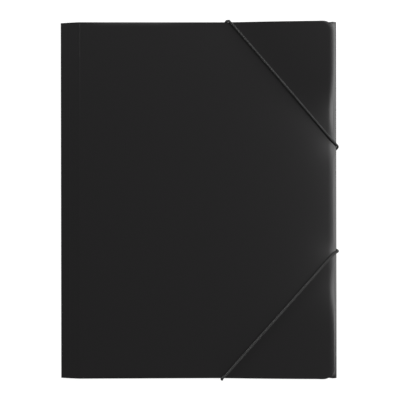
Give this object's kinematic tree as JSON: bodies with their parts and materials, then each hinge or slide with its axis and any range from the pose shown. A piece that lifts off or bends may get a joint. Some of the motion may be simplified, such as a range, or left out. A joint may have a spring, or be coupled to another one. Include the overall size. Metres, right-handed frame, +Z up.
{
  "type": "three flap folder",
  "caption": "Flat document folder of scored black plastic sheet with head, foot and side flaps under a hinged front cover, held shut by round elastic bands across two corners.",
  "frame": {"origin": "middle of the closed folder's footprint, on the surface that it lies on", "axes": "+X from the spine fold to the opening side, +Y to the head of the folder, +Z up, out of the front cover"},
  "size_m": [0.2504, 0.3246, 0.0134],
  "materials": {
    "plastic_sheet": "black polypropylene sheet, finely embossed and matte",
    "elastic": "black braided yarn over a rubber core",
    "clip_steel": "plated steel strip, satin"
  },
  "bodies": {
    "back": {"back_sheet": "plastic_sheet", "upper_elastic": "elastic", "lower_elastic": "elastic", "upper_end_clip": "clip_steel", "upper_side_clip": "clip_steel", "lower_end_clip": "clip_steel", "lower_side_clip": "clip_steel"},
    "spine": {"spine_strip": "plastic_sheet"},
    "cover": {"front_cover": "plastic_sheet"}
  },
  "joints": [
    {"name": "spine_hinge", "type": "hinge", "parent": "back", "child": "spine", "pos_m": [-0.125, 0, 0.0007], "axis": [0, -1, 0], "range_deg": [0, 155], "deforming": ["upper_elastic", "lower_elastic"]},
    {"name": "cover_hinge", "type": "hinge", "parent": "spine", "child": "cover", "pos_m": [-0.10825, 0, 0.00795], "axis": [0, -1, 0], "range_deg": [0, 23.8]}
  ],
  "couplings": [
    {"joint": "cover_hinge", "follows": "spine_hinge", "ratio": 0.15355}
  ]
}
